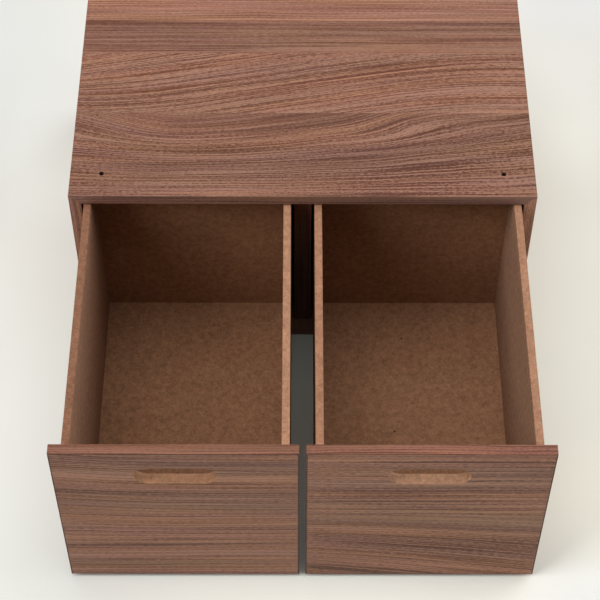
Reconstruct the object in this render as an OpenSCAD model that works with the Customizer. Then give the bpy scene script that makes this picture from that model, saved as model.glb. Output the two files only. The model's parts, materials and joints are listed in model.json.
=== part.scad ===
// Tabletop chest with two deep drawers side by side, sized for upright disc cases.
// The carcass is four veneered boards mitred into a frame, with a divider in the middle.
// Each drawer is a plain fibreboard box behind a veneered front with a finger slot.
// Millimetres, +Z up, drawers slide out towards -Y and are shown pulled out by drawer_pull.
// The origin is the centre of the carcass footprint, on its underside.

/* [Carcass] */
// Width over both side boards
carcass_w = 370; // [330:5:420]
// Height over the top and bottom boards
carcass_h = 185; // [165:5:220]
// Depth from the front edge bands to the back
carcass_d = 271; // [240:1:320]
// Thickness of the top, bottom and side boards
board_t = 9.5; // [9:0.5:14]
// Thickness of the divider between the two compartments
divider_t = 14.5; // [10:0.5:20]
// Distance of the divider's front edge behind the carcass's front edge
divider_setback = 10; // [0:1:20]
// Thickness of the edge bands on the carcass and on the drawer fronts
band_t = 1; // [0.6:0.1:1.6]

/* [Back panel] */
// Thickness of the back panel, and depth of the rebate that it lies in
back_t = 4; // [3:0.5:6]
// Width of the rebate, measured into the boards from the inner faces
rebate_w = 5; // [4:0.5:6]
// Gap around the back panel in its rebate
back_fit = 0.25; // [0.1:0.05:0.5]
// Radius of a panel pin's shank
pin_r = 0.7; // [0.5:0.1:1]
// Radius of a panel pin's head
pin_head_r = 1.4; // [1.2:0.1:1.6]
// Thickness of a panel pin's head
pin_head_t = 0.8; // [0.5:0.1:1.2]
// Length of a panel pin
pin_l = 16; // [12:1:20]
// Distance of the outer pins from the carcass corners
pin_inset = 40; // [30:5:60]
// Number of pins along the top board, and along the bottom board
pins_per_long_edge = 6; // [3:1:9]
// Number of pins down each side board, and down the divider
pins_per_upright = 3; // [2:1:5]

/* [Joinery] */
// Thickness of the splines in the four mitres
spline_t = 2.5; // [2:0.1:3]
// Width of the splines, across the mitre
spline_w = 7; // [5:0.5:8]
// Distance that the splines stop short of the band and of the back panel
spline_stop = 12; // [6:1:30]
// Radius of the dowels that hold the divider
dowel_r = 3; // [2:0.5:4]
// Length of a dowel
dowel_l = 20; // [14:1:26]
// Depth of a dowel's seat in the top or bottom board
dowel_seat = 5.5; // [4:0.5:6]
// Distance of the outer dowels from the divider's front and rear edges
dowel_inset = 25; // [20:5:60]
// Number of dowels in each end of the divider
dowels_per_end = 3; // [2:1:5]
// Gap around splines, dowels, pins and nails in their holes
fit_gap = 0.1; // [0.05:0.05:0.2]

/* [Stacking holes] */
// Radius of the blind holes for stacking pins, in the top and in the underside
stack_r = 2; // [1.5:0.25:3]
// Depth of the stacking holes
stack_depth = 5; // [3:0.5:6]
// Distance of the stacking holes from the side faces
stack_from_side = 25; // [15:1:40]
// Distance of the stacking holes from the front and from the back
stack_from_end = 23.5; // [15:0.5:40]

/* [Drawer fronts] */
// Thickness of a drawer front
front_t = 8.5; // [8:0.5:12]
// Carcass edge left showing beside each front
side_reveal = 3.2; // [0.4:0.2:4]
// Gap between the two fronts
centre_gap = 5; // [2:0.5:8]
// Carcass edge left showing above the fronts
top_reveal = 4; // [1:0.5:6]
// Height of the fronts' lower edges above the carcass underside
bottom_reveal = 4; // [1:0.5:6]
// Length of the finger slot
slot_w = 60; // [40:1:90]
// Height of the finger slot
slot_h = 20; // [16:1:28]
// Distance from a front's top edge down to the middle of its slot
slot_drop = 30; // [20:1:60]

/* [Drawer boxes] */
// Thickness of the box sides
box_side_t = 6; // [5:0.5:9]
// Thickness of the box back
box_back_t = 6; // [5:0.5:9]
// Thickness of the box bottom
box_bottom_t = 2.5; // [2.5:0.5:5]
// Gap between a box and the carcass side board
box_outer_gap = 2; // [0.5:0.25:2.5]
// Gap between a box and the divider
box_inner_gap = 2; // [0.5:0.25:2.5]
// Gap between a box and the bottom board that it slides on
box_under_gap = 0.4; // [0.3:0.1:0.6]
// Gap between a box and the top board
box_over_gap = 1; // [0.5:0.5:10]
// Gap between a closed box and the back panel
box_rear_gap = 10; // [4:0.5:20]
// Height of the box bottom's underside above the box's lower edge
bottom_lift = 3; // [2:0.5:8]
// Depth of the grooves that hold the box bottom
groove_d = 3; // [2:0.5:4]
// Depth of the housings in the front that hold the box sides
housing_d = 3; // [2:0.5:5]
// Radius of a box nail's shank
nail_r = 0.75; // [0.5:0.05:1]
// Radius of a box nail's head
nail_head_r = 1.5; // [1.2:0.1:2]
// Thickness of a box nail's head
nail_head_t = 0.8; // [0.5:0.1:1.2]
// Length of a box nail
nail_l = 22; // [16:1:30]
// Distance of the outer nails from the box's lower and upper edges
nail_inset = 24; // [18:1:40]
// Number of nails in each rear corner of a box
nails_per_corner = 3; // [2:1:5]

/* [Motion] */
// How far both drawers are pulled out as shown
drawer_pull = 228; // [0:1:240]

/* [Hidden] */

$fn = 48;

// How far a cut runs past the face that it opens
cut = 1;

// Carcass: the boards' outer and inner faces, from the middle plane and the underside
outer_x = carcass_w / 2;
inner_x = outer_x - board_t;
inner_z0 = board_t;
inner_z1 = carcass_h - board_t;
front_y = -carcass_d / 2;
board_y = front_y + band_t;
divider_y = front_y + divider_setback;
back_y = carcass_d / 2;
rebate_y = back_y - back_t;

// Each mitre's splines lie across the middle of the mitre
mitre_x = outer_x - board_t / 2;
mitre_z = carcass_h - board_t / 2;

// Right-hand drawer; the left-hand one is its mirror image
front_x0 = centre_gap / 2;
front_x1 = outer_x - side_reveal;
front_z0 = bottom_reveal;
front_z1 = carcass_h - top_reveal;
front_back_y = front_y - drawer_pull;
front_face_y = front_back_y - front_t;
slot_x = (front_x0 + front_x1) / 2;
slot_z = front_z1 - slot_drop;

// Box: outer and inner faces of its sides, its rear, its edges and its floor
box_x0 = divider_t / 2 + box_inner_gap;
box_x1 = inner_x - box_outer_gap;
well_x0 = box_x0 + box_side_t;
well_x1 = box_x1 - box_side_t;
box_y1 = rebate_y - box_rear_gap - drawer_pull;
well_y1 = box_y1 - box_back_t;
housing_y = front_back_y - housing_d;
box_z0 = inner_z0 + box_under_gap;
box_z1 = inner_z1 - box_over_gap;
groove_z0 = box_z0 + bottom_lift;
groove_z1 = groove_z0 + box_bottom_t;

veneer_colour = "#8d6550";
band_colour = "#6f4a3b";
fibre_colour = "#a9805f";
wood_colour = "#c9a574";
steel_colour = "#9a9a9c";

// Evenly spaced values from a to b, both included
function spread(a, b, count) = [for (i = [0 : count - 1]) a + (b - a) * i / (count - 1)];

// A box given by two opposite corners
module block(from, to) {
    translate(from) cube(to - from);
}

// Draws an outline given in X and Z as a solid from y0 to y1
module front_view(y0, y1) {
    translate([0, y1, 0]) rotate([90, 0, 0]) linear_extrude(y1 - y0) children();
}

// A round rod from y0 to y1 about a line along Y
module rod_y(x, z, y0, y1, r) {
    translate([x, y0, z]) rotate([-90, 0, 0]) cylinder(r = r, h = y1 - y0);
}

// A round rod from x0 to x1 about a line along X
module rod_x(y, z, x0, x1, r) {
    translate([x0, y, z]) rotate([0, 90, 0]) cylinder(r = r, h = x1 - x0);
}

// The left-hand half is the mirror image of the right-hand half
module left() {
    mirror([1, 0, 0]) children();
}

// ---- Carcass ----

// Outlines of the mitred boards, seen from the front
module top_outline() {
    polygon([[-outer_x, carcass_h], [-inner_x, inner_z1], [inner_x, inner_z1], [outer_x, carcass_h]]);
}

module bottom_outline() {
    polygon([[-outer_x, 0], [outer_x, 0], [inner_x, inner_z0], [-inner_x, inner_z0]]);
}

module side_outline() {
    polygon([[outer_x, 0], [outer_x, carcass_h], [inner_x, inner_z1], [inner_x, inner_z0]]);
}

module divider_outline() {
    translate([-divider_t / 2, inner_z0]) square([divider_t, inner_z1 - inner_z0]);
}

// The rebate around the carcass's rear opening, or the back panel when drawn in by its gap
module rebate(gap, y1) {
    reach = rebate_w - gap;
    block(
        [-inner_x - reach, rebate_y, inner_z0 - reach],
        [inner_x + reach, y1, inner_z1 + reach]
    );
}

// Splines in the four mitres, or their slots when grown by a gap
module splines(gap) {
    for (sx = [-1, 1], z = [carcass_h - mitre_z, mitre_z])
        translate([sx * mitre_x, 0, z])
            rotate([0, (z == mitre_z ? 1 : -1) * sx * 45, 0])
                block(
                    [-spline_w / 2 - gap, board_y + spline_stop - gap, -spline_t / 2 - gap],
                    [spline_w / 2 + gap, rebate_y - spline_stop + gap, spline_t / 2 + gap]
                );
}

// Dowels in both ends of the divider, or their holes when grown by a gap
module dowels(gap) {
    for (y = spread(divider_y + dowel_inset, rebate_y - dowel_inset, dowels_per_end))
        for (z = [inner_z0 - dowel_seat, inner_z1 + dowel_seat - dowel_l])
            translate([0, y, z - gap]) cylinder(r = dowel_r + gap, h = dowel_l + 2 * gap);
}

// One panel pin, driven in from the back, or its hole when grown by a gap
module back_pin(x, z, gap) {
    rod_y(x, z, back_y - pin_l - gap, back_y + gap, pin_r + gap);
    rod_y(x, z, back_y - pin_head_t - gap, back_y + gap, pin_head_r + gap);
}

module back_pins_at(gap) {
    edge = rebate_w / 2;
    for (x = spread(-outer_x + pin_inset, outer_x - pin_inset, pins_per_long_edge))
        for (z = [inner_z0 - edge, inner_z1 + edge]) back_pin(x, z, gap);
    for (z = spread(pin_inset, carcass_h - pin_inset, pins_per_upright))
        for (x = [-inner_x - edge, 0, inner_x + edge]) back_pin(x, z, gap);
}

// Blind holes for the pins that join two stacked chests
module stacking_holes(z0) {
    for (sx = [-1, 1], y = [front_y + stack_from_end, back_y - stack_from_end])
        translate([sx * (outer_x - stack_from_side), y, z0]) cylinder(r = stack_r, h = stack_depth + cut);
}

// Takes from a carcass board everything that is let into it
module let_in() {
    difference() {
        children();
        rebate(0, back_y + cut);
        splines(fit_gap);
        dowels(fit_gap);
        back_pins_at(fit_gap);
    }
}

module top_panel() {
    color(veneer_colour)
        difference() {
            let_in() front_view(board_y, back_y) top_outline();
            stacking_holes(carcass_h - stack_depth);
        }
}

module bottom_panel() {
    color(veneer_colour)
        difference() {
            let_in() front_view(board_y, back_y) bottom_outline();
            stacking_holes(-cut);
        }
}

module right_side_panel() {
    color(veneer_colour) let_in() front_view(board_y, back_y) side_outline();
}

module left_side_panel() {
    color(veneer_colour) let_in() front_view(board_y, back_y) left() side_outline();
}

module divider_panel() {
    color(veneer_colour) let_in() front_view(divider_y + band_t, rebate_y) divider_outline();
}

module back_panel() {
    color(fibre_colour)
        difference() {
            rebate(back_fit, back_y);
            back_pins_at(fit_gap);
        }
}

module top_edge_band() {
    color(band_colour) front_view(front_y, board_y) top_outline();
}

module bottom_edge_band() {
    color(band_colour) front_view(front_y, board_y) bottom_outline();
}

module right_edge_band() {
    color(band_colour) front_view(front_y, board_y) side_outline();
}

module left_edge_band() {
    color(band_colour) front_view(front_y, board_y) left() side_outline();
}

module divider_edge_band() {
    color(band_colour) front_view(divider_y, divider_y + band_t) divider_outline();
}

module corner_splines() {
    color(wood_colour) splines(0);
}

module divider_dowels() {
    color(wood_colour) dowels(0);
}

module back_pins() {
    color(steel_colour) back_pins_at(0);
}

// ---- Drawers, drawn for the right-hand side ----

// The finger slot, cut right through the front
module finger_slot() {
    run = (slot_w - slot_h) / 2;
    y0 = front_face_y - cut;
    y1 = front_back_y + cut;
    for (sx = [-1, 1]) rod_y(slot_x + sx * run, slot_z, y0, y1, slot_h / 2);
    block([slot_x - run, y0, slot_z - slot_h / 2], [slot_x + run, y1, slot_z + slot_h / 2]);
}

module box_side(x0, x1) {
    block([x0, housing_y, box_z0], [x1, box_y1, box_z1]);
}

module outer_side_blank() {
    box_side(well_x1, box_x1);
}

module inner_side_blank() {
    box_side(box_x0, well_x0);
}

module bottom_blank() {
    block(
        [well_x0 - groove_d, housing_y, groove_z0],
        [well_x1 + groove_d, well_y1 + groove_d, groove_z1]
    );
}

// A pair of nails through both sides into the back, or their holes when grown by a gap
module nail_pair(z, gap) {
    y = (well_y1 + box_y1) / 2;
    rod_x(y, z, box_x0 - gap, box_x0 + nail_l + gap, nail_r + gap);
    rod_x(y, z, box_x0 - gap, box_x0 + nail_head_t + gap, nail_head_r + gap);
    rod_x(y, z, box_x1 - nail_l - gap, box_x1 + gap, nail_r + gap);
    rod_x(y, z, box_x1 - nail_head_t - gap, box_x1 + gap, nail_head_r + gap);
}

module nails(gap) {
    for (z = spread(box_z0 + nail_inset, box_z1 - nail_inset, nails_per_corner)) nail_pair(z, gap);
}

module front_panel() {
    color(veneer_colour)
        difference() {
            block(
                [front_x0 + band_t, front_face_y, front_z0 + band_t],
                [front_x1 - band_t, front_back_y, front_z1 - band_t]
            );
            finger_slot();
            outer_side_blank();
            inner_side_blank();
            bottom_blank();
        }
}

module front_top_band() {
    color(band_colour)
        block([front_x0, front_face_y, front_z1 - band_t], [front_x1, front_back_y, front_z1]);
}

module front_bottom_band() {
    color(band_colour)
        block([front_x0, front_face_y, front_z0], [front_x1, front_back_y, front_z0 + band_t]);
}

// A band on one of the front's upright edges, between the top and bottom bands
module front_upright_band(x0) {
    color(band_colour)
        block(
            [x0, front_face_y, front_z0 + band_t],
            [x0 + band_t, front_back_y, front_z1 - band_t]
        );
}

module front_outer_band() {
    front_upright_band(front_x1 - band_t);
}

module front_inner_band() {
    front_upright_band(front_x0);
}

module box_outer_side() {
    color(fibre_colour)
        difference() {
            outer_side_blank();
            bottom_blank();
            nails(fit_gap);
        }
}

module box_inner_side() {
    color(fibre_colour)
        difference() {
            inner_side_blank();
            bottom_blank();
            nails(fit_gap);
        }
}

module box_back() {
    color(fibre_colour)
        difference() {
            block([well_x0, well_y1, box_z0], [well_x1, box_y1, box_z1]);
            bottom_blank();
            nails(fit_gap);
        }
}

module box_bottom() {
    color(fibre_colour) bottom_blank();
}

module box_nails() {
    color(steel_colour) nails(0);
}

top_panel();
bottom_panel();
left_side_panel();
right_side_panel();
divider_panel();
back_panel();
top_edge_band();
bottom_edge_band();
left_edge_band();
right_edge_band();
divider_edge_band();
corner_splines();
divider_dowels();
back_pins();
left() front_panel();  // left_front_panel
left() front_top_band();  // left_front_top_band
left() front_bottom_band();  // left_front_bottom_band
left() front_outer_band();  // left_front_outer_band
left() front_inner_band();  // left_front_inner_band
left() box_outer_side();  // left_box_outer_side
left() box_inner_side();  // left_box_inner_side
left() box_back();  // left_box_back
left() box_bottom();  // left_box_bottom
left() box_nails();  // left_box_nails
front_panel();  // right_front_panel
front_top_band();  // right_front_top_band
front_bottom_band();  // right_front_bottom_band
front_outer_band();  // right_front_outer_band
front_inner_band();  // right_front_inner_band
box_outer_side();  // right_box_outer_side
box_inner_side();  // right_box_inner_side
box_back();  // right_box_back
box_bottom();  // right_box_bottom
box_nails();  // right_box_nails
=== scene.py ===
# %% [markdown]
# # A tabletop chest with two deep drawers
#
# This lesson dresses a low chest for disc cases: four boards mitred into a frame, a divider
# in the middle, and two drawers pulled well out. The boards and the drawer fronts carry
# walnut veneer, and the drawer boxes are plain sanded fibreboard.
#
# Every solid already exists, to size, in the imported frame. The lesson gives each board its
# eased edges, its figure and its finish, adds the pins and nails, and then lights the scene.

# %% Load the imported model
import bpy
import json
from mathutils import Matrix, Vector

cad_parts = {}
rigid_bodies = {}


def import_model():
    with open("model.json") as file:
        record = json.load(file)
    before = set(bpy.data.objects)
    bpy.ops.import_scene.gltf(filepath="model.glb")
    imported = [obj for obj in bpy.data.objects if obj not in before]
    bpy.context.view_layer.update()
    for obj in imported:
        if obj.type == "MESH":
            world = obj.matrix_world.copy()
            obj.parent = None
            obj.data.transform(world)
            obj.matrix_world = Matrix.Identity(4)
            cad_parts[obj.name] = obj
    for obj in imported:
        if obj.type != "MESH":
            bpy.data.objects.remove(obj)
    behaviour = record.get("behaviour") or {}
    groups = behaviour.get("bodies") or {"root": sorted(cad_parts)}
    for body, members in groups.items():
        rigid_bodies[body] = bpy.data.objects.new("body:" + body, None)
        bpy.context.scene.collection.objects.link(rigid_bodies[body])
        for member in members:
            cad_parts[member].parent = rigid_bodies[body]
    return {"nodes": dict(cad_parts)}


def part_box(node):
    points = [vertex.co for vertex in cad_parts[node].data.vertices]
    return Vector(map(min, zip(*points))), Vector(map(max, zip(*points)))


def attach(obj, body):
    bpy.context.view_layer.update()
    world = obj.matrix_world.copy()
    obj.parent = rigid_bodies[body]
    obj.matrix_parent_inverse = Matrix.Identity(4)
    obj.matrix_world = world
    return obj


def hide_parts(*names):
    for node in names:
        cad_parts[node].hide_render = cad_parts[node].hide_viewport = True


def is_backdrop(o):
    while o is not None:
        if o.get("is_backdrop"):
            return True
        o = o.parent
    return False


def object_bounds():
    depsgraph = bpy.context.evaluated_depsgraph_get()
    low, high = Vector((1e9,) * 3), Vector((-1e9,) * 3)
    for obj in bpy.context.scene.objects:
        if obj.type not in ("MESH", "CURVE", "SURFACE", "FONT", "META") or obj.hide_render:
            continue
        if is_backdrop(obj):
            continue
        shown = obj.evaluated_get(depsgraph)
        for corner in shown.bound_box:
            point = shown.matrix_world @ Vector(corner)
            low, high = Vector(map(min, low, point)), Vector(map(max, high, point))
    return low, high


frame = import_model()
print("nodes:", len(frame["nodes"]))

# %% Modules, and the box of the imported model
import json
from math import cos, pi, radians, sin

import bmesh
import bpy
from mathutils import Euler, Vector

cad_low, cad_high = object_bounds()
MM = 0.001
bpy.context.scene.view_settings.view_transform = "Standard"
print("packed size in mm:", [round(v / MM, 1) for v in cad_high - cad_low])

# %% [markdown]
# ## Camera
#
# The picture looks down on the open drawers from in front, through a long lens, so that the
# uprights lean together only a little. The viewpoint could be found by eye, but the straight
# edges of the chest fix it much better: the place, the three angles and the lens below make
# those edges fall where they lie in the picture.

# %% Place the camera
CAMERA_PLACE = (-0.00291, -1.04748, 1.25615)
LOOK_DOWN, LOOK_ASIDE, ROLL = 0.930614, -0.005316, 0.005806  # in radians

camera_data = bpy.data.cameras.new("viewpoint")
camera_data.sensor_width = 36
camera_data.lens = 107.0
camera_data.shift_x = -0.0076
camera_data.shift_y = 0.02135
camera_data.clip_start, camera_data.clip_end = 0.05, 30
camera = bpy.data.objects.new("viewpoint", camera_data)
camera.location = CAMERA_PLACE
look = Euler((radians(90) - LOOK_DOWN, 0, LOOK_ASIDE)).to_matrix()
roll = Euler((0, 0, ROLL)).to_matrix()
camera.rotation_euler = (look @ roll).to_euler()
bpy.context.collection.objects.link(camera)
bpy.context.scene.camera = camera
print("camera rows:", [[round(v, 4) for v in row] for row in camera.rotation_euler.to_matrix()])

# %% [markdown]
# ## Tools for materials
#
# A procedural material is a chain of nodes. Building one by hand takes three calls for each
# node, so small helpers do it in one: `put` adds a node and fills its sockets in order with
# numbers or with other nodes' outputs, and `plus`, `minus` and `times` chain arithmetic.

# %% Helpers that place and join shader nodes
def linear(red, green, blue):
    """A colour picked on screen, 0 to 255 a channel, as the linear value that nodes work in."""
    parts = [c / 255 for c in (red, green, blue)]
    return (*[p / 12.92 if p <= 0.04045 else ((p + 0.055) / 1.055) ** 2.4 for p in parts], 1)


def fill(tree, sockets, values):
    """Fills sockets in order; None leaves a socket alone, and a socket is linked."""
    for socket, value in zip(sockets, values):
        if isinstance(value, bpy.types.NodeSocket):
            tree.links.new(value, socket)
        elif value is not None:
            socket.default_value = value


def put(tree, kind, *values, **settings):
    """Adds a node with its settings, and fills its sockets in order."""
    made = tree.nodes.new(kind)
    for name, value in settings.items():
        setattr(made, name, value)
    fill(tree, made.inputs, values)
    return made


def sums(tree, operation, *values):
    """One step of arithmetic, and its result."""
    return put(tree, "ShaderNodeMath", *values, operation=operation).outputs[0]


def plus(tree, first, second):
    return sums(tree, "ADD", first, second)


def minus(tree, first, second):
    return sums(tree, "SUBTRACT", first, second)


def times(tree, first, second):
    return sums(tree, "MULTIPLY", first, second)


print("a walnut brown for nodes:", [round(v, 3) for v in linear(122, 83, 67)])

# %% [markdown]
# Colours have to be blended, values stretched to another range, and both made uneven. `mix`
# and `tinted` join two colours, `span` stretches a range and stops at its ends, and `noise`
# gives a soft random pattern, which stays sharp from any distance because it is worked out
# anew at each point.

# %% Helpers for colours, ranges and patterns
def mix(tree, share, first, second, mode="MIX"):
    """Two colours blended by a share from 0 to 1."""
    made = put(tree, "ShaderNodeMix", data_type="RGBA", blend_type=mode)
    fill(tree, [made.inputs[i] for i in (0, 6, 7)], (share, first, second))
    return made.outputs[2]


def tinted(tree, colour, tint):
    """A colour multiplied by another, or by a plain number."""
    return mix(tree, 1.0, colour, tint, "MULTIPLY")


def span(tree, value, low, high, to_low=0.0, to_high=1.0, smooth=False):
    """Stretches the part of a value between low and high to a new range, and stops there."""
    made = put(tree, "ShaderNodeMapRange", value, low, high, to_low, to_high, clamp=True)
    made.interpolation_type = "SMOOTHSTEP" if smooth else "LINEAR"
    return made.outputs[0]


def noise(tree, along, across, seed, scale=1.0, detail=2.0, rough=0.5):
    """Noise at a place on a board, given by two lengths and a seed."""
    place = put(tree, "ShaderNodeCombineXYZ", along, across, seed).outputs[0]
    made = put(tree, "ShaderNodeTexNoise", place, noise_dimensions="3D")
    made.inputs["Scale"].default_value = scale
    made.inputs["Detail"].default_value = detail
    made.inputs["Roughness"].default_value = rough
    return made.outputs["Fac"]


def centred(tree, value):
    """A noise that runs from 0 to 1, turned round its middle."""
    return minus(tree, value, 0.5)


def shader_group(name, inputs, outputs):
    """An empty node group with named number, colour and vector sockets."""
    tree = bpy.data.node_groups.new(name, "ShaderNodeTree")
    kinds = {"number": "NodeSocketFloat", "colour": "NodeSocketColor", "vector": "NodeSocketVector"}
    for label, (kind, value) in inputs.items():
        socket = tree.interface.new_socket(name=label, in_out="INPUT", socket_type=kinds[kind])
        socket.default_value = value
    for label, kind in outputs.items():
        tree.interface.new_socket(name=label, in_out="OUTPUT", socket_type=kinds[kind])
    return tree, tree.nodes.new("NodeGroupInput").outputs, tree.nodes.new("NodeGroupOutput")


print("helpers:", [made.__name__ for made in (mix, tinted, span, noise, centred, shader_group)])

# %% [markdown]
# ## Walnut
#
# Walnut veneer shows four things at once: broad soft bands of light and dark, thin dark lines
# where each year's growth ends, a hair-fine streak along the fibres, and open pores that look
# like short dark dashes. An image would give all four but repeats and has one size. Here each
# is a noise that is stretched along the grain, so the wood stays sharp from any distance.
#
# The group is told where a point lies along the grain and across it, both in metres. What
# bends the grain, such as the arches of a leaf cut near the heart, is worked out by the
# material, which moves the point across the grain before it asks.
#
# Bands, Lines and Fine say how strong each part is. Streak darkens and greys the wood, as at
# the heart; Shift makes it lighter or darker; and Ashen says how much of it turns grey.

# %% Walnut grain as a shared group
grain_tree, given, result = shader_group(
    "walnut_grain",
    {
        "Along": ("number", 0.0),
        "Across": ("number", 0.0),
        "Seed": ("number", 0.0),
        "Bands": ("number", 1.0),
        "Lines": ("number", 1.0),
        "Fine": ("number", 1.0),
        "Streak": ("number", 0.0),
        "Shift": ("number", 0.0),
        "Ashen": ("number", 1.0),
        "Light": ("colour", linear(153, 112, 93)),
        "Middle": ("colour", linear(122, 83, 67)),
        "Dark": ("colour", linear(87, 50, 36)),
        "Grey": ("colour", linear(105, 78, 67)),
    },
    {"Color": "colour", "Roughness": "number", "Height": "number"},
)
t = grain_tree
along, across, seed = given["Along"], given["Across"], given["Seed"]

# A slow drift and a quicker ripple keep the grain from running dead straight.
bent = across
for along_rate, across_rate, width in ((7, 16, 5 * MM), (24, 50, 1.4 * MM)):
    sway = noise(t, times(t, along, along_rate), times(t, across, across_rate), seed)
    bent = plus(t, bent, times(t, centred(t, sway), width))

# Of each noise: its features a metre along and across the grain, the step of its seed, its
# detail and its roughness.
GRAIN_NOISES = {
    "bands": (2, 62, 0.0, 3, 0.6),
    "streaks": (5, 480, 0.0, 2, 0.6),
    "rings": (3, 170, 7.3, 1, 0.5),
    "hairs": (7, 1180, 0.0, 1, 0.5),
    "fibres": (330, 1150, 0.0, 1, 0.7),
    "dashes": (260, 1400, 1.7, 1, 0.5),
    "hues": (2.4, 40, 3.1, 2, 0.5),
    "pace": (3, 60, 9.4, 1, 0.5),
    "tints": (5, 90, 5.2, 1, 0.5),
    "warmth": (5, 110, 6.6, 2, 0.5),
}
seen = {}
for name, (along_rate, across_rate, seed_step, detail, rough) in GRAIN_NOISES.items():
    place = times(t, along, along_rate), times(t, bent, across_rate), plus(t, seed, seed_step)
    seen[name] = noise(t, *place, detail=detail, rough=rough)
print("noises in the grain:", len(seen))

# %% [markdown]
# The yearly lines come at an uneven pace: a sine runs across the grain, and a slow noise
# speeds it up and slows it down. Where another noise passes a set value it draws a thin ring
# line, dark at one value and pale at a second. All the parts then add up to one tone, from 0
# for dark wood to 1 for light, and the tone picks the colour.

# %% Lines, tone and colour of the grain
YEAR = 2.6 * MM

waves = sums(t, "SINE", plus(t, times(t, bent, 2 * pi / YEAR), times(t, seen["pace"], 30)))
clearness = times(t, plus(t, seen["pace"], seen["streaks"]), 0.5)
years = times(t, waves, span(t, clearness, 0.4, 0.6, 0.3, 1))


def contour(level, width):
    """A thin line wherever the ring noise passes a level."""
    return span(t, sums(t, "ABSOLUTE", minus(t, seen["rings"], level)), 0.0, width, 1, 0, smooth=True)


ring_lines = times(t, contour(0.5, 0.05), span(t, seen["hues"], 0.35, 0.6, 0.4, 1))
ring_lines = minus(t, ring_lines, times(t, contour(0.6, 0.04), 0.8))
pores = span(t, seen["dashes"], 0.6, 0.72)

tone = plus(t, given["Shift"], 0.6)
for part, control, share in (
    (centred(t, seen["bands"]), "Bands", 0.9),
    (centred(t, seen["streaks"]), "Lines", 0.78),
    (centred(t, seen["hairs"]), "Fine", 2.15),
    (centred(t, seen["fibres"]), "Fine", 1.3),
    (years, "Lines", 0.16),
    (ring_lines, "Lines", -0.25),
    (pores, "Fine", -0.22),
    (1.0, "Streak", -0.45),
):
    tone = plus(t, tone, times(t, part, times(t, given[control], share)))

wood = mix(t, span(t, tone, 0.0, 0.5), given["Dark"], given["Middle"])
wood = mix(t, span(t, tone, 0.5, 1.0), wood, given["Light"])
greyed = times(t, span(t, seen["hues"], 0.5, 0.72, 0, 0.6), given["Ashen"])
greyed = sums(t, "MAXIMUM", greyed, times(t, given["Streak"], 0.9))
wood = mix(t, greyed, wood, mix(t, span(t, tone, -0.1, 0.8), given["Dark"], given["Grey"]))
for name, first, second in (
    ("tints", (0.985, 1.014, 0.985, 1), (1.015, 0.986, 1.01, 1)),
    ("warmth", (0.972, 1.0, 1.085, 1), (1.036, 1.0, 0.9, 1)),
):
    wood = tinted(t, wood, mix(t, span(t, seen[name], 0.35, 0.65), first, second))
t.links.new(wood, result.inputs["Color"])
t.links.new(span(t, tone, 0.0, 1.0, 0.66, 0.55), result.inputs["Roughness"])
t.links.new(minus(t, times(t, seen["fibres"], 0.35), pores), result.inputs["Height"])
print("walnut_grain has", len(t.nodes), "nodes")

# %% [markdown]
# ## Fibreboard
#
# Fibreboard is wood that was ground to fibres and pressed again, so it has no grain. Seen
# close, it is an even brown with pale fibres a millimetre or two long that lie in every
# direction, a few dark ones, and a slow cloudiness. Where it is sawn, its inside is paler.

# %% Fibreboard as a shared group
BOARD, SAWN = linear(143, 103, 75), linear(147, 106, 82)
PALE_FIBRE, DARK_FIBRE = linear(214, 172, 132), linear(64, 42, 30)

fibre_tree, given, result = shader_group(
    "pressed_fibre",
    {"Place": ("vector", (0, 0, 0)), "Base": ("colour", BOARD)},
    {"Color": "colour", "Roughness": "number", "Height": "number"},
)
t = fibre_tree


def speckle(scale, detail, stretch=(1, 1, 1), rough=0.5):
    """Noise in space, stretched by three factors."""
    moved = put(t, "ShaderNodeMapping", given["Place"])
    moved.inputs["Scale"].default_value = stretch
    made = put(t, "ShaderNodeTexNoise", moved.outputs[0])
    made.inputs["Scale"].default_value = scale
    made.inputs["Detail"].default_value = detail
    made.inputs["Roughness"].default_value = rough
    return made.outputs["Fac"]


cloud = speckle(24, 3)
dust = speckle(220, 4, rough=0.85)
pale = sums(t, "MAXIMUM", speckle(420, 1, (1, 3, 3)), speckle(420, 1, (3, 1, 3)))
pale = span(t, pale, 0.62, 0.76)
dark = span(t, speckle(320, 0), 0.74, 0.8)
shade = plus(t, span(t, cloud, 0.3, 0.7, 0.95, 1.05), times(t, centred(t, dust), 1.7))
board = tinted(t, given["Base"], shade)
board = mix(t, times(t, pale, 0.25), board, PALE_FIBRE)
board = mix(t, times(t, dark, 0.3), board, DARK_FIBRE)
t.links.new(board, result.inputs["Color"])
t.links.new(span(t, dust, 0.3, 0.7, 0.84, 0.74), result.inputs["Roughness"])
t.links.new(plus(t, dust, times(t, pale, 0.4)), result.inputs["Height"])
print("pressed_fibre has", len(t.nodes), "nodes")

# %% [markdown]
# ## Finishes
#
# Each finish asks where a point lies on its board. The Object coordinates of a piece are the
# chest's own metres, because every piece keeps its place in its mesh, so the grain of one
# board runs on over its pores and edges without a seam, and stays put when a drawer slides.

# %% Helpers that start a finish and close it
def new_finish(name):
    """A material with an empty tree, the place of the point, and its X, Y and Z."""
    material = bpy.data.materials.new(name)
    material.use_nodes = True
    tree = material.node_tree
    tree.nodes.clear()
    place = put(tree, "ShaderNodeTexCoord").outputs["Object"]
    xyz = put(tree, "ShaderNodeSeparateXYZ", place).outputs
    return material, tree, place, xyz


def use_group(tree, group, **values):
    """A shader group's node, filled by socket name."""
    made = put(tree, "ShaderNodeGroup", node_tree=group)
    fill(tree, [made.inputs[label] for label in values], values.values())
    return made.outputs


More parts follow.
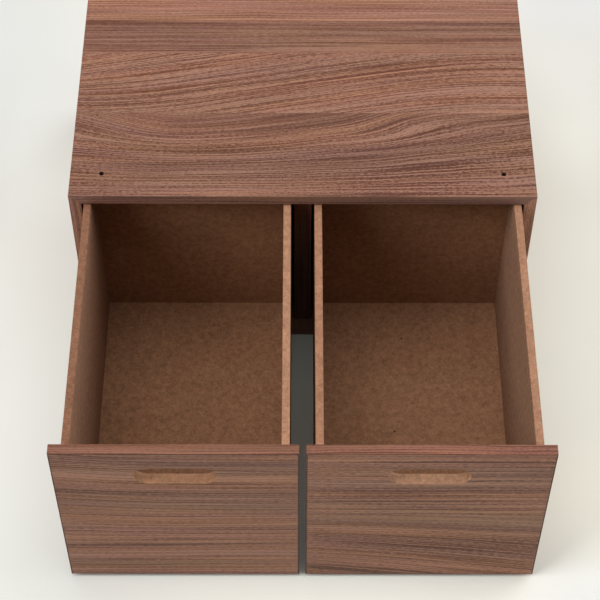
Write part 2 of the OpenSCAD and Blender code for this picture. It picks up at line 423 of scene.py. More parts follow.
def close_finish(tree, colour, roughness, height, depth, specular=0.22):
    """Ends a finish in a Principled shader with a bump of the given depth in metres."""
    bump = put(tree, "ShaderNodeBump")
    bump.inputs["Strength"].default_value = 1
    bump.inputs["Distance"].default_value = depth
    tree.links.new(height, bump.inputs["Height"])
    shader = put(tree, "ShaderNodeBsdfPrincipled")
    shader.inputs["Specular IOR Level"].default_value = specular
    tree.links.new(colour, shader.inputs["Base Color"])
    tree.links.new(roughness, shader.inputs["Roughness"])
    tree.links.new(bump.outputs[0], shader.inputs["Normal"])
    put(tree, "ShaderNodeOutputMaterial", shader.outputs[0])
    return shader


print("groups to use:", [group.name for group in (grain_tree, fibre_tree)])

# %% [markdown]
# Noise alone gives walnut of the right kind, but its light and dark streaks fall anywhere.
# So each board also has a short list of marks, which puts its main streaks in their places.
# Other helpers draw small specks, and tell a board's faces from its edges by the way the
# surface is turned.

# %% Helpers for streaks, specks and faces
MARK_FADE = 12 * MM


def figure(tree, along, across, marks):
    """Long streaks of lighter or darker wood, each at a place across the grain.

    A mark is its place, half its width, how much lighter it is, and where it starts and ends
    along the grain, all lengths in millimetres.
    """
    waver = noise(tree, times(tree, along, 9), times(tree, across, 25), 0.4)
    across = plus(tree, across, times(tree, centred(tree, waver), 3 * MM))
    total = 0.0
    for place, half, amount, first, last in marks:
        first, last = first * MM, last * MM
        off = sums(tree, "ABSOLUTE", minus(tree, across, place * MM))
        mark = span(tree, off, 0, half * MM, amount, 0, smooth=True)
        mark = times(tree, mark, span(tree, along, first - MARK_FADE, first + MARK_FADE))
        mark = times(tree, mark, span(tree, along, last - MARK_FADE, last + MARK_FADE, 1, 0))
        total = plus(tree, total, mark)
    return total


def away_from(tree, xyz, x, y):
    """How far a point lies from the upright line at x and y."""
    off = [minus(tree, xyz[axis], at) for axis, at in (("X", x), ("Y", y))]
    return sums(tree, "SQRT", plus(tree, *[times(tree, o, o) for o in off]))


def specks(tree, xyz, places, radius):
    """1 inside small dots at the given places on a level board, in mm, and 0 elsewhere."""
    found = 0.0
    for x, y in places:
        away = away_from(tree, xyz, x * MM, y * MM)
        found = sums(tree, "MAXIMUM", span(tree, away, 0.6 * radius, radius, 1, 0), found)
    return found


def facing(tree, axis):
    """How squarely the surface faces along one axis, from 0 to 1."""
    normal = put(tree, "ShaderNodeNewGeometry").outputs["Normal"]
    return sums(tree, "ABSOLUTE", put(tree, "ShaderNodeSeparateXYZ", normal).outputs[axis])


print("a streak starts and ends over", round(2 * MARK_FADE / MM), "mm")

# %% [markdown]
# ### The top's veneer
#
# The top is covered by leaves of veneer laid side by side, with their joints running from left
# to right. The leaf at the front was cut near the heart, so its grain swings in a wide bowl;
# the next one lies aslant; the two behind run straight. Each leaf has its own seed, and a
# rule that says how far its grain is bent at each point.

# %% Leaves of the top and their marks
LEAF_JOINTS = (-46 * MM, 22 * MM, 61 * MM)
FRONT_LEAF_MARKS = [
    (-71.5, 1.8, -0.35, -190, 10),
    (-82, 2.2, 0.28, -190, 10),
    (-91.5, 1.3, -0.55, 45, 190),
    (-94.5, 1.4, 0.3, 95, 190),
    (-97.8, 1.4, -0.4, 115, 190),
    (-103, 1.5, -0.35, -190, 60),
    (-117.4, 1.2, -0.35, -80, 150),
    (-128, 7, 0.12, -190, 190),
    (-55, 5, -0.13, -190, -85),
    (-74, 4, -0.12, -85, -5),
    (-90, 4, 0.08, 0, 75),
    (-96, 4, -0.1, -190, -85),
    (-113, 4, -0.12, 75, 190),
    (-92, 9, 0.07, 85, 190),
]
HEART_MARKS = [
    (-62, 16, 0.32, -110, 75),
    (-70.6, 2.8, 0.5, -60, 50),
    (-60, 2.2, 0.8, -32, 10),
    (-83, 2.0, 1.0, 45, 90),
]
SLANTED_LEAF_MARKS = [
    (32, 1.3, -0.6, -190, -60),
    (21.2, 1.3, -0.6, -150, 10),
    (-5.5, 2.0, -0.45, -120, 80),
    (-35, 1.4, -0.4, -10, 190),
    (-12, 1.2, -0.35, -60, 120),
    (-44, 8, 0.2, -40, 190),
    (0, 30, -0.09, -190, -60),
    (-20, 30, 0.1, -5, 70),
    (-3.7, 6, 0.14, 80, 190),
]
THIRD_LEAF_MARKS = [
    (57.5, 2.6, -0.3, -190, -70),
    (57.5, 2.6, -0.25, -70, 190),
    (52, 1.2, -0.2, -190, 190),
    (38.5, 4, -0.3, 60, 190),
    (29, 5, -0.12, -190, -40),
    (30, 4, 0.12, -75, 0),
    (40, 4, -0.1, -190, -90),
]
print("leaves on the top:", len(LEAF_JOINTS) + 1)

# %% [markdown]
# The bowl is a hyperbola round the heart, which lies left of the middle. It fades out towards
# the front edge, climbs faster at the left end, and has a small rise on the right. The slanted
# leaf leans by a fixed slope, and flattens towards its right end.

# %% Where the grain lies on the top
HEART_X, HEART_ROUND, BOWL_SLOPE = -100 * MM, 30 * MM, 0.17
STEEP_X, STEEP_SLOPE = -113 * MM, 0.13
RISE = 6.5 * MM
LEAF_SLOPE, FLAT_X, LIFT_X = 0.19, 75 * MM, -90 * MM


def bowl(tree, x, y):
    """How far the front leaf's grain is bent towards the back."""
    off = minus(tree, x, HEART_X)
    arch = sums(tree, "SQRT", plus(tree, times(tree, off, off), HEART_ROUND ** 2))
    arch = times(tree, minus(tree, arch, HEART_ROUND), BOWL_SLOPE)
    steep = times(tree, sums(tree, "MAXIMUM", minus(tree, STEEP_X, x), 0), STEEP_SLOPE)
    rise = times(
        tree,
        span(tree, x, 30 * MM, 90 * MM, 0, RISE, smooth=True),
        span(tree, x, 100 * MM, 200 * MM, 1, 0, smooth=True),
    )
    total = times(tree, arch, span(tree, y, -135 * MM, -45 * MM))
    total = plus(tree, total, times(tree, steep, span(tree, y, -90 * MM, -50 * MM, smooth=True)))
    return plus(tree, total, times(tree, rise, span(tree, y, -78 * MM, -52 * MM, smooth=True)))


def slant(tree, x, y):
    """How far the second leaf's grain is bent towards the back."""
    late = sums(tree, "MAXIMUM", minus(tree, x, FLAT_X), 0)
    early = sums(tree, "MAXIMUM", minus(tree, LIFT_X, x), 0)
    total = minus(tree, times(tree, x, LEAF_SLOPE), times(tree, late, late))
    return plus(tree, total, times(tree, times(tree, early, early), span(tree, y, -30 * MM, 0, 1, 0)))


print("the bowl's heart in mm, from the middle:", round(HEART_X / MM))

# %% [markdown]
# Each leaf then gets its own bands, lines and shade. A test whether the point lies past a
# joint gives 0 or 1, so a value that is multiplied by it counts on one leaf alone. A strip
# near the front edge is a little darker than the rest of its leaf, and a pale wedge lies
# along the front of the third.

# %% What the grain group is told on the top
FRONT_LEAF_SHADE, SHADE_STEPS = 0.917, (0.12, -0.165, 0.41)


def top_veneer(tree, xyz):
    """What the grain group needs on the top, leaf by leaf, and the shade of each leaf."""
    x, y = xyz["X"], xyz["Y"]
    past = [sums(tree, "GREATER_THAN", y, joint) for joint in LEAF_JOINTS]
    front, slanted = minus(tree, 1, past[0]), minus(tree, past[0], past[1])
    third = minus(tree, past[1], past[2])
    bend = plus(tree, times(tree, bowl(tree, x, y), front), times(tree, slant(tree, x, y), slanted))
    across = minus(tree, y, bend)
    leaf = plus(tree, past[0], plus(tree, past[1], past[2]))

    shade = FRONT_LEAF_SHADE
    for is_past, change in zip(past, SHADE_STEPS):
        shade = plus(tree, shade, times(tree, is_past, change))
    near_strip = times(
        tree,
        span(tree, y, -130 * MM, -115 * MM),
        span(tree, y, -95 * MM, -83 * MM, 1, 0),
    )
    shade = minus(tree, shade, times(tree, near_strip, 0.08))
    fine = plus(tree, span(tree, y, -75 * MM, -50 * MM, 1.8, 1.1), times(tree, slanted, 0.4))

    wedge = minus(tree, minus(tree, y, times(tree, x, 0.047)), 29 * MM)
    shift = times(tree, span(tree, wedge, -1 * MM, 1 * MM, 0.3, 0), third)
    for place, marks, here in (
        (across, FRONT_LEAF_MARKS, front),
        (across, SLANTED_LEAF_MARKS, slanted),
        (y, THIRD_LEAF_MARKS, third),
    ):
        shift = plus(tree, shift, times(tree, figure(tree, x, place, marks), here))
    looks = {
        "Along": x,
        "Across": across,
        "Seed": plus(tree, times(tree, leaf, 5.7), 2.0),
        "Bands": plus(tree, times(tree, past[1], 0.3), 0.5),
        "Lines": plus(tree, times(tree, past[1], 0.2), 0.52),
        "Fine": minus(tree, fine, times(tree, past[1], 0.33)),
        "Streak": times(tree, figure(tree, x, across, HEART_MARKS), front),
        "Shift": shift,
        "Ashen": minus(tree, 1, times(tree, past[0], 0.6)),
    }
    return looks, shade


print("leaf shades:", [round(FRONT_LEAF_SHADE + sum(SHADE_STEPS[:i]), 3) for i in range(4)])

# %% [markdown]
# The veneer covers only the face that looks up. The walls and floors of the stacking holes and
# the mitred ends show the board's inside, which is painted dark between the front and back
# edges, as the shade that falls in the holes.

# %% Finish of the top
BOARD_BUMP = 0.05 * MM

top_finish, t, place, xyz = new_finish("top_veneer")
looks, shade = top_veneer(t, xyz)
grain = use_group(t, grain_tree, **looks)
# Painted shade: the board's inside is dark between the front and back edges, where it shows in the holes.
hole_shade_share = sums(t, "LESS_THAN", sums(t, "ABSOLUTE", xyz["Y"]), 130 * MM)
core = use_group(t, fibre_tree, Place=place, Base=mix(t, hole_shade_share, SAWN, linear(50, 34, 27)))
sunk = times(t, sums(t, "GREATER_THAN", xyz["Z"], 178 * MM), sums(t, "LESS_THAN", xyz["Z"], 184.4 * MM))
is_face = times(t, span(t, facing(t, "Z"), 0.4, 0.6), minus(t, 1, sunk))
colour = mix(t, is_face, core["Color"], tinted(t, grain["Color"], shade))
colour = mix(t, specks(t, xyz, [(-167.5, -48.9)], 1.1 * MM), colour, linear(84, 36, 28))
close_finish(t, colour, grain["Roughness"], grain["Height"], BOARD_BUMP)
print("top veneer has", len(t.nodes), "nodes")

# %% [markdown]
# ### Other veneered boards
#
# The sides carry on the top's grain round the mitres, so theirs stands upright, and the
# underside's lies across. The two fronts have quiet, nearly straight grain that lies across
# the chest. One function makes them all, from the axes that run along and across the grain.

# %% One function for every other veneered board
def veneer(
    name, along_axis, across_axis, face_axis, seed,
    bend=None, length=1.0, wall=SAWN, marks=(), **looks,
):
    """A veneered board: grain on its faces, pressed fibre on its cut walls."""
    material, tree, place, xyz = new_finish(name)
    along, across = sums(tree, "DIVIDE", xyz[along_axis], length), xyz[across_axis]
    if bend:
        across = plus(tree, across, bend(tree, xyz))
    shift = figure(tree, xyz[along_axis], across, marks)
    grain = use_group(tree, grain_tree, Along=along, Across=across, Seed=seed, Shift=shift, **looks)
    core = use_group(tree, fibre_tree, Place=place, Base=wall)
    is_face = span(tree, facing(tree, face_axis), 0.4, 0.6)
    colour = mix(tree, is_face, core["Color"], grain["Color"])
    close_finish(tree, colour, grain["Roughness"], grain["Height"], BOARD_BUMP)
    return material


def lean(tree, xyz):
    """Grain of the right front, which leans in its lower part and runs level above."""
    share = span(tree, xyz["Z"], 0, 120 * MM, 1, 0, smooth=True)
    return times(tree, times(tree, xyz["X"], 0.16), share)


def sag(tree, xyz):
    """Grain of the left front, which falls from the outer end above its middle."""
    off = sums(tree, "MINIMUM", plus(tree, xyz["X"], 60 * MM), 0)
    share = span(tree, xyz["Z"], 50 * MM, 110 * MM, smooth=True)
    return times(tree, times(tree, off, off), times(tree, share, -0.42))


side_finish = veneer("side_veneer", "Z", "Y", "X", 31.0)
under_finish = veneer("underside_veneer", "X", "Y", "Z", 12.0)
divider_finish = veneer("divider_veneer", "Z", "Y", "X", 44.0)
print("plain veneers:", [m.name for m in (side_finish, under_finish, divider_finish)])

# %% [markdown]
# The fronts have marks of their own, listed as on the top. They stand in softer light than the
# top, so their tones are picked apart from it. Their slots are cut through the board and show
# its pale inside.

# %% Marks of the two fronts
LEFT_FRONT_MARKS = [
    (169, 9, -0.15, -190, 0),
    (149, 8, 0.38, -190, 0),
    (128, 14, -0.2, -190, 0),
    (112, 2.5, 0.15, -120, 0),
    (60, 2.2, 0.35, -190, -110),
    (51, 4.5, -0.18, -190, -100),
    (37, 6, 0.14, -190, 0),
    (22, 3.5, -0.06, -190, 0),
    (13, 4, 0.15, -190, 0),
    (141, 5, -0.12, -190, -85),
    (88, 8, -0.12, -190, 0),
    (70, 7, -0.18, -190, 0),
    (35, 5, 0.14, -190, -85),
]
RIGHT_FRONT_MARKS = [
    (171, 2.2, -0.35, 50, 190),
    (158.8, 2.2, -0.3, 80, 190),
    (140, 4.5, 0.2, 0, 190),
    (110, 4.5, 0.35, 0, 190),
    (84, 4.5, -0.18, 0, 190),
    (77.5, 4.5, 0.38, 0, 190),
    (64, 12, -0.27, 0, 190),
    (36, 4.5, 0.25, 0, 140),
    (17, 8, -0.3, 0, 190),
    (28, 6, -0.2, 90, 190),
    (165, 4, 0.12, 0, 190),
    (144, 5, 0.16, 0, 190),
    (132, 5, -0.12, 0, 190),
    (96, 8, 0.13, 85, 190),
    (49, 8, -0.1, 0, 85),
    (33, 6, -0.16, 0, 85),
    (46, 6, -0.15, 90, 190),
]
print("marks on the fronts:", len(LEFT_FRONT_MARKS) + len(RIGHT_FRONT_MARKS))

# %% Veneer of the two fronts
FRONT_LOOKS = {
    "length": 1.4,
    "wall": linear(165, 121, 91),
    "Fine": 0.95,
    "Bands": 0.9,
    "Light": linear(170, 126, 103),
    "Middle": linear(138, 96, 76),
    "Dark": linear(88, 58, 47),
    "Grey": linear(124, 99, 85),
}
RIGHT_LOOKS = {
    **FRONT_LOOKS,
    # Painted light: the right slot's sawn wall is a lighter tone than the left's.
    "wall": linear(172, 130, 101),
    "Fine": 1.2,
    "Lines": 1.2,
    "Light": linear(168, 124, 101),
    "Middle": linear(136, 95, 76),
}
left_front_finish = veneer(
    "left_front_veneer", "X", "Z", "Y", 51.0, sag, marks=LEFT_FRONT_MARKS, **FRONT_LOOKS,
)
right_front_finish = veneer(
    "right_front_veneer", "X", "Z", "Y", 63.0, lean, marks=RIGHT_FRONT_MARKS, **RIGHT_LOOKS,
)
print("veneers:", [m.name for m in bpy.data.materials if m.name.endswith("veneer")])

# %% [markdown]
# ### Edge bands
#
# A veneered board shows its inside at its edges, so a thin strip of solid wood is glued over
# them. The strips run the length of their edges, and with them their grain.

# %% Bands on the front edges
BAND_TONES = {"Light": (156, 112, 91), "Middle": (130, 89, 72), "Dark": (93, 62, 51), "Grey": (116, 88, 76)}
SEAM = linear(40, 18, 13)


def band(name, along_axis, across_axis, seed, tint=(1, 1, 1), seam=1.0, **looks):
    """An edge band; tint scales its red, green and blue, and seam darkens its faces that look forward."""
    tones = {label: linear(*[c * s for c, s in zip(tone, tint)]) for label, tone in BAND_TONES.items()}
    material, tree, place, xyz = new_finish(name)
    across = xyz[across_axis]
    grain = use_group(tree, grain_tree, Along=xyz[along_axis], Across=across, Seed=seed, **tones, **looks)
    colour = mix(tree, span(tree, facing(tree, "Y"), 0.4, 0.8, 0, 1 - seam), grain["Color"], SEAM)
    close_finish(tree, colour, grain["Roughness"], grain["Height"], 0.04 * MM)
    return material


level_band = band("level_band", "X", "Z", 71.0, (1.02, 1.05, 1.09))
upright_band = band("upright_band", "Z", "X", 74.0)
# Painted light: the right upright band is a lighter copy of the left one.
lit_right_band = band("right_upright_band", "Z", "X", 77.0, (1.33, 1.42, 1.38))
front_level_band = band("front_level_band", "X", "Y", 83.0, (0.945, 0.875, 0.84), 0.45, Bands=1.7, Lines=1.4)
front_upright_band = band("front_upright_band", "Z", "Y", 88.0, (0.75, 0.73, 0.72), 0.5)
print("bands:", [m.name for m in bpy.data.materials if m.name.endswith("band")])

# %% [markdown]
# ### Fibreboard, beech and steel
#
# The boxes are bare fibreboard. The hidden splines and dowels are beech, which is pale and
# flecked, and the pins and nails are bright drawn steel with fine rings from the die.

# %% Finishes of the boxes
def fibreboard(name, sawn_axis=None, sawn=SAWN, base=BOARD, marks=()):
    """Bare fibreboard; the faces that look along the sawn axis show the paler inside."""
    material, tree, place, xyz = new_finish(name)
    if sawn_axis:
        base = mix(tree, span(tree, facing(tree, sawn_axis), 0.5, 0.8), base, sawn)
    fibre = use_group(tree, fibre_tree, Place=place, Base=base)
    colour = mix(tree, specks(tree, xyz, marks, 1.0 * MM), fibre["Color"], linear(38, 22, 14))
    close_finish(tree, colour, fibre["Roughness"], fibre["Height"], BOARD_BUMP, specular=0.15)
    return material


# The box sides' sawn top edges are one board, given tones by place as painted light and shade.
SAWN_EDGES_LIT_AND_SHADED = {
    "left_outer": linear(127, 88, 67),
    "left_inner": linear(160, 118, 92),
    "right_inner": linear(153, 110, 85),
    "right_outer": linear(156, 115, 90),
}
WALL_FACES = {"outer": linear(135, 101, 80), "inner": BOARD}
edge_finish = {
    place: fibreboard(place + "_wall_board", "Z", tone, WALL_FACES[place.split("_")[1]])
    for place, tone in SAWN_EDGES_LIT_AND_SHADED.items()
}
box_finish = fibreboard("box_back_board", "Z")
sheet_finish = fibreboard("back_board")
RIGHT_FLOOR_SPECKS = [(85.2, -150.8), (76.2, -245.6)]
# The two box bottoms are one board; the right one is painted lighter than the left, as painted light.
floor_finish = {
    "left": fibreboard("left_bottom_board", base=linear(140, 100, 73)),
    "right": fibreboard("right_bottom_board", base=linear(148, 107, 79), marks=RIGHT_FLOOR_SPECKS),
}
print("fibreboards:", [m.name for m in bpy.data.materials if m.name.endswith("board")])

# %% Finishes of the joints and the pins
BEECH_TONES = {
    "Light": linear(224, 190, 146),
    "Middle": linear(206, 168, 124),
    "Dark": linear(168, 126, 86),
    "Grey": linear(196, 162, 124),
}
beech_finish, t, place, xyz = new_finish("beech")
grain = use_group(
    t, grain_tree, Along=xyz["Y"], Across=xyz["Z"], Seed=5.0, Bands=0.5, Lines=0.5, **BEECH_TONES,
)
close_finish(t, grain["Color"], grain["Roughness"], grain["Height"], 0.03 * MM)

steel_finish, t, place, xyz = new_finish("drawn_steel")
die_marks = put(t, "ShaderNodeTexNoise", place)
die_marks.inputs["Scale"].default_value = 1800
die_marks = die_marks.outputs["Fac"]
colour = mix(t, die_marks, linear(150, 150, 154), linear(196, 196, 198))
steel = close_finish(t, colour, span(t, die_marks, 0.3, 0.7, 0.25, 0.45), die_marks, 0.01 * MM)
steel.inputs["Metallic"].default_value = 1.0
print("finishes:", len(bpy.data.materials))

# %% [markdown]
# ## Boards with eased edges
#
# No real board has a knife edge: a few strokes of sandpaper leave a tiny round that catches
# the light as a thin line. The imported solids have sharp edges. Blender's Bevel modifier would
# also bevel the mitres and the rebates, where the boards must stay sharp. So each board is
# copied, and only its outer edges are planed off, with three narrow cuts that follow a round,
# and the mitred boards meet in one clean line because the same cuts pass over both.

# %% A plane that takes off an edge
SIDES = (-1, 1)


def plane_off(mesh, point, normal):
    """Cuts away what lies beyond a plane, and closes the cut."""
    parts = mesh.verts[:] + mesh.edges[:] + mesh.faces[:]
    cut = bmesh.ops.bisect_plane(
        mesh, geom=parts, dist=1e-7, plane_co=point, plane_no=normal, clear_outer=True,
    )
    rim = [e for e in cut["geom_cut"] if isinstance(e, bmesh.types.BMEdge) and e.is_boundary]
    if rim:
        bmesh.ops.edgeloop_fill(mesh, edges=rim)


def round_plane(low, high, axes, sides, radius, angle):
    """One cut of the round on a box's edge: the axes it crosses, and the box's side on each."""
    point, normal = Vector((0, 0, 0)), Vector((0, 0, 0))
    for axis, side, share in zip(axes, sides, (cos(angle), sin(angle))):
        normal[axis] = side * share
        point[axis] = (high if side > 0 else low)[axis] - side * radius * (1 - share)
    return point, normal


def box_edges(*pairs):
    """The edges of a box that cross the given pairs of axes, each with the two sides it lies on."""
    return [(pair, (first, second)) for pair in pairs for first in SIDES for second in SIDES]


ALL_EDGES = box_edges((0, 1), (0, 2), (1, 2))
print("edges of a box:", len(ALL_EDGES))

# %% Copy a board, ease it, and let it stand for its node
ROUND_ANGLES = (22.5, 45, 67.5)


def eased(node, body, finish, low, high, radius, edges=ALL_EDGES, extra=()):
    """A board with rounded edges: those of the box low-high, and any extra ones."""
    source = frame["nodes"][node]
    mesh = bmesh.new()
    mesh.from_mesh(source.data)
    bmesh.ops.remove_doubles(mesh, verts=mesh.verts[:], dist=1e-6)
    cuts = [(low, high, axes, sides) for axes, sides in edges] + list(extra)
    for lo, hi, axes, sides in cuts:
        for angle in ROUND_ANGLES:
            point, normal = round_plane(lo, hi, axes, sides, radius, radians(angle))
            if any((v.co - point).dot(normal) > 1e-6 for v in mesh.verts):
                plane_off(mesh, point, normal)
    bmesh.ops.dissolve_limit(mesh, angle_limit=radians(0.5), verts=mesh.verts[:], edges=mesh.edges[:])
    bmesh.ops.triangulate(mesh, faces=mesh.faces[:])
    bmesh.ops.dissolve_degenerate(mesh, edges=mesh.edges[:], dist=2e-6)
    data = bpy.data.meshes.new(node + "_eased")
    mesh.to_mesh(data)
    mesh.free()
    data.polygons.foreach_set("use_smooth", [True] * len(data.polygons))
    data.set_sharp_from_angle(angle=radians(12))
    data.materials.append(finish)
    piece = bpy.data.objects.new(node + "_eased", data)
    bpy.context.collection.objects.link(piece)
    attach(piece, body)
    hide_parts(node)


def count_eased():
    return sum(1 for o in bpy.data.objects if o.name.endswith("_eased"))


print("cuts in a round:", len(ROUND_ANGLES))

# %% [markdown]
# ### The carcass
#
# The outer round follows the chest's own box. The bands also have a round along the inside of
# the frame and on both edges of the divider, where a hand or a drawer would catch them. Such
# an inner edge is the edge of a box too, one that starts at the frame's inside and runs far
# past the chest.

# %% Ease the carcass boards and their bands
BOARD_ROUND = 0.5 * MM
BACK_IN_REBATE = 4.75 * MM
FAR = 1.0

carcass_low = Vector((cad_low.x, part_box("top_edge_band")[0].y, 0))
carcass_high = Vector((cad_high.x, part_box("top_panel")[1].y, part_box("top_panel")[1].z))
inside_low, inside_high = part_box("divider_edge_band")
inner_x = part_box("back_panel")[1].x - BACK_IN_REBATE
front_y = carcass_low.y
print("carcass box in mm:", [round(v / MM, 2) for v in (*carcass_low, *carcass_high)])
boards = {
    "top_panel": top_finish,
    "bottom_panel": under_finish,
    "left_side_panel": side_finish,
    "right_side_panel": side_finish,
}
for node, finish in boards.items():
    eased(node, "carcass", finish, carcass_low, carcass_high, BOARD_ROUND)

frame_edges = {
    "top_edge_band": (level_band, (-FAR, front_y, inside_high.z), (FAR, FAR, FAR), (1, 2), (-1, -1)),
    "bottom_edge_band": (level_band, (-FAR, front_y, -FAR), (FAR, FAR, inside_low.z), (1, 2), (-1, 1)),
    "left_edge_band": (upright_band, (-FAR, front_y, -FAR), (-inner_x, FAR, FAR), (0, 1), (1, -1)),
    "right_edge_band": (lit_right_band, (inner_x, front_y, -FAR), (FAR, FAR, FAR), (0, 1), (-1, -1)),
}
for node, (finish, low, high, axes, sides) in frame_edges.items():
    inner = [(Vector(low), Vector(high), axes, sides)]
    eased(node, "carcass", finish, carcass_low, carcass_high, BOARD_ROUND, extra=inner)
eased(
    "divider_edge_band", "carcass", upright_band, inside_low, inside_high, BOARD_ROUND,
    edges=[((0, 1), (-1, -1)), ((0, 1), (1, -1))],
)
print("eased carcass pieces:", count_eased())

# %% [markdown]
# ### The drawers
#
# Each front is a panel inside four bands, and one box round all five gives the edges that are
# eased. The upper edges of the fibreboard box are rounded a little more, because bare board
# frays at a sharp corner.

# %% Ease the fronts and the boxes
FRONT_ROUND, BOX_ROUND = 0.5 * MM, 0.7 * MM
FRONT_BANDS = {
    "front_top_band": front_level_band,
    "front_bottom_band": front_level_band,
    "front_outer_band": front_upright_band,
    "front_inner_band": front_upright_band,
}
for side, front_finish in (("left", left_front_finish), ("right", right_front_finish)):
    body = side + "_drawer"
    corners = [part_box(f"{side}_{part}") for part in ("front_panel", *FRONT_BANDS)]
    low = Vector([min(c[0][i] for c in corners) for i in range(3)])
    high = Vector([max(c[1][i] for c in corners) for i in range(3)])
    eased(side + "_front_panel", body, front_finish, low, high, FRONT_ROUND)
    for part, finish in FRONT_BANDS.items():
        eased(f"{side}_{part}", body, finish, low, high, FRONT_ROUND)
    for part, finish, axes in (
        ("box_outer_side", edge_finish[side + "_outer"], (0, 2)),
        ("box_inner_side", edge_finish[side + "_inner"], (0, 2)),
        ("box_back", box_finish, (1, 2)),
    ):
        low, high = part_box(f"{side}_{part}")
        edges = box_edges(axes)
        eased(f"{side}_{part}", body, finish, low, high, BOX_ROUND, edges=edges)
print("eased pieces in all:", count_eased())

# %% [markdown]
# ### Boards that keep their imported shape
#
# The divider, the back and the box bottoms show no free edge, so their solids are right as
# they are and only need a finish. The hidden splines and dowels get beech.

# %% Finish the remaining nodes
PLAIN_NODES = {
    "divider_panel": divider_finish,
    "back_panel": sheet_finish,
    "corner_splines": beech_finish,
    "divider_dowels": beech_finish,
    "left_box_bottom": floor_finish["left"],
    "right_box_bottom": floor_finish["right"],
}
for node, finish in PLAIN_NODES.items():
    data = frame["nodes"][node].data
    data.materials.clear()
    data.materials.append(finish)
print("dressed in place:", len(PLAIN_NODES))

# %% [markdown]
# ## Pins and nails
#
# The back is held by a row of small panel pins, and each box by three nails in every rear
# corner. They are one shape repeated, which is what Geometry Nodes do well: the mesh that
# goes in holds one point for each pin and the way it was driven, and the tree sets a pin on
# every point, turned a little at random as a hammer leaves it.

# %% The tree that drives a pin into every point
PIN_SIZES = {
    "Shank Radius": 0.7 * MM,
    "Shank Length": 16 * MM,
    "Head Radius": 1.4 * MM,
    "Head Height": 0.8 * MM,
}
NAIL_SIZES = {**PIN_SIZES, "Shank Radius": 0.75 * MM, "Shank Length": 22 * MM, "Head Radius": 1.5 * MM}

pin_tree = bpy.data.node_groups.new("driven_pins", "GeometryNodeTree")
add_socket = pin_tree.interface.new_socket
add_socket(name="Geometry", in_out="INPUT", socket_type="NodeSocketGeometry")
for label, value in PIN_SIZES.items():
    add_socket(name=label, in_out="INPUT", socket_type="NodeSocketFloat").default_value = value
add_socket(name="Seed", in_out="INPUT", socket_type="NodeSocketInt").default_value = 4
add_socket(name="Finish", in_out="INPUT", socket_type="NodeSocketMaterial")
add_socket(name="Geometry", in_out="OUTPUT", socket_type="NodeSocketGeometry")
t = pin_tree
given = t.nodes.new("NodeGroupInput").outputs
shank_radius, shank_length = given["Shank Radius"], given["Shank Length"]
head_radius, head_height = given["Head Radius"], given["Head Height"]


def rod(radius_low, radius_high, depth, lift):
    """A closed rod or cone that stands on the given height."""
    shape = put(t, "GeometryNodeMeshCone")
    shape.inputs["Vertices"].default_value = 20
    for label, value in (("Radius Top", radius_high), ("Radius Bottom", radius_low), ("Depth", depth)):
        t.links.new(value, shape.inputs[label])
    move = put(t, "GeometryNodeTransform", shape.outputs["Mesh"])
    t.links.new(put(t, "ShaderNodeCombineXYZ", 0.0, 0.0, lift).outputs[0], move.inputs["Translation"])
    return move.outputs[0]


crown = times(t, head_height, 0.35)
plate = minus(t, head_height, crown)
narrow = times(t, head_radius, 0.72)
shank = rod(shank_radius, shank_radius, minus(t, shank_length, head_height), times(t, shank_length, -1))
head = rod(head_radius, head_radius, plate, times(t, head_height, -1))
cap = rod(head_radius, narrow, crown, times(t, crown, -1))
join = put(t, "GeometryNodeJoinGeometry")
for part in (shank, head, cap):
    t.links.new(part, join.inputs[0])
print("one pin takes", len(t.nodes), "nodes")

# %% Turn each pin and set it on its point
spin = put(t, "FunctionNodeRandomValue", data_type="FLOAT")
spin.inputs[3].default_value = 2 * pi
t.links.new(given["Seed"], spin.inputs["Seed"])
turned = put(t, "FunctionNodeAxisAngleToRotation", (0, 0, 1))
t.links.new(spin.outputs[1], turned.inputs["Angle"])
aim = put(t, "GeometryNodeInputNamedAttribute", "aim", data_type="FLOAT_VECTOR")
aimed = put(t, "FunctionNodeAlignRotationToVector", axis="Z")
t.links.new(turned.outputs[0], aimed.inputs["Rotation"])
t.links.new(aim.outputs["Attribute"], aimed.inputs["Vector"])
rows = put(t, "GeometryNodeInstanceOnPoints", given["Geometry"])
t.links.new(join.outputs[0], rows.inputs["Instance"])
t.links.new(aimed.outputs[0], rows.inputs["Rotation"])
solid = put(t, "GeometryNodeRealizeInstances", rows.outputs[0])
painted = put(t, "GeometryNodeSetMaterial", solid.outputs[0])
t.links.new(given["Finish"], painted.inputs["Material"])
t.links.new(painted.outputs[0], put(t, "NodeGroupOutput").inputs[0])
print("driven_pins has", len(t.nodes), "nodes")

# %% Drive the pins and the nails
def driven(name, body, node, places, aims, sizes):
    """One mesh of pins for a body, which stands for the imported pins."""
    points = bpy.data.meshes.new(name + "_points")
    points.from_pydata(places, [], [])
    vectors = [c for a in aims for c in a]
    points.attributes.new("aim", "FLOAT_VECTOR", "POINT").data.foreach_set("vector", vectors)
    maker = bpy.data.objects.new(name + "_points", points)
    bpy.context.collection.objects.link(maker)
    modifier = maker.modifiers.new("driven_pins", "NODES")
    modifier.node_group = pin_tree
    values = {**sizes, "Finish": steel_finish}
    for item in pin_tree.interface.items_tree:
        if item.in_out == "INPUT" and item.name in values:
            modifier[item.identifier] = values[item.name]
    ready = maker.evaluated_get(bpy.context.evaluated_depsgraph_get())
    data = bpy.data.meshes.new_from_object(ready)
    maker.modifiers.remove(modifier)
    bpy.data.objects.remove(maker)
    piece = bpy.data.objects.new(name, data)
    bpy.context.collection.objects.link(piece)
    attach(piece, body)
    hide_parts(node)
    print(name, "has", len(places), "pins and", len(data.polygons), "faces")


def spread(first, last, count):
    """Evenly spaced values, both ends included."""
    return [first + (last - first) * i / (count - 1) for i in range(count)]


PINS_ACROSS = spread(-145 * MM, 145 * MM, 6)
PINS_UP = spread(40 * MM, 145 * MM, 3)

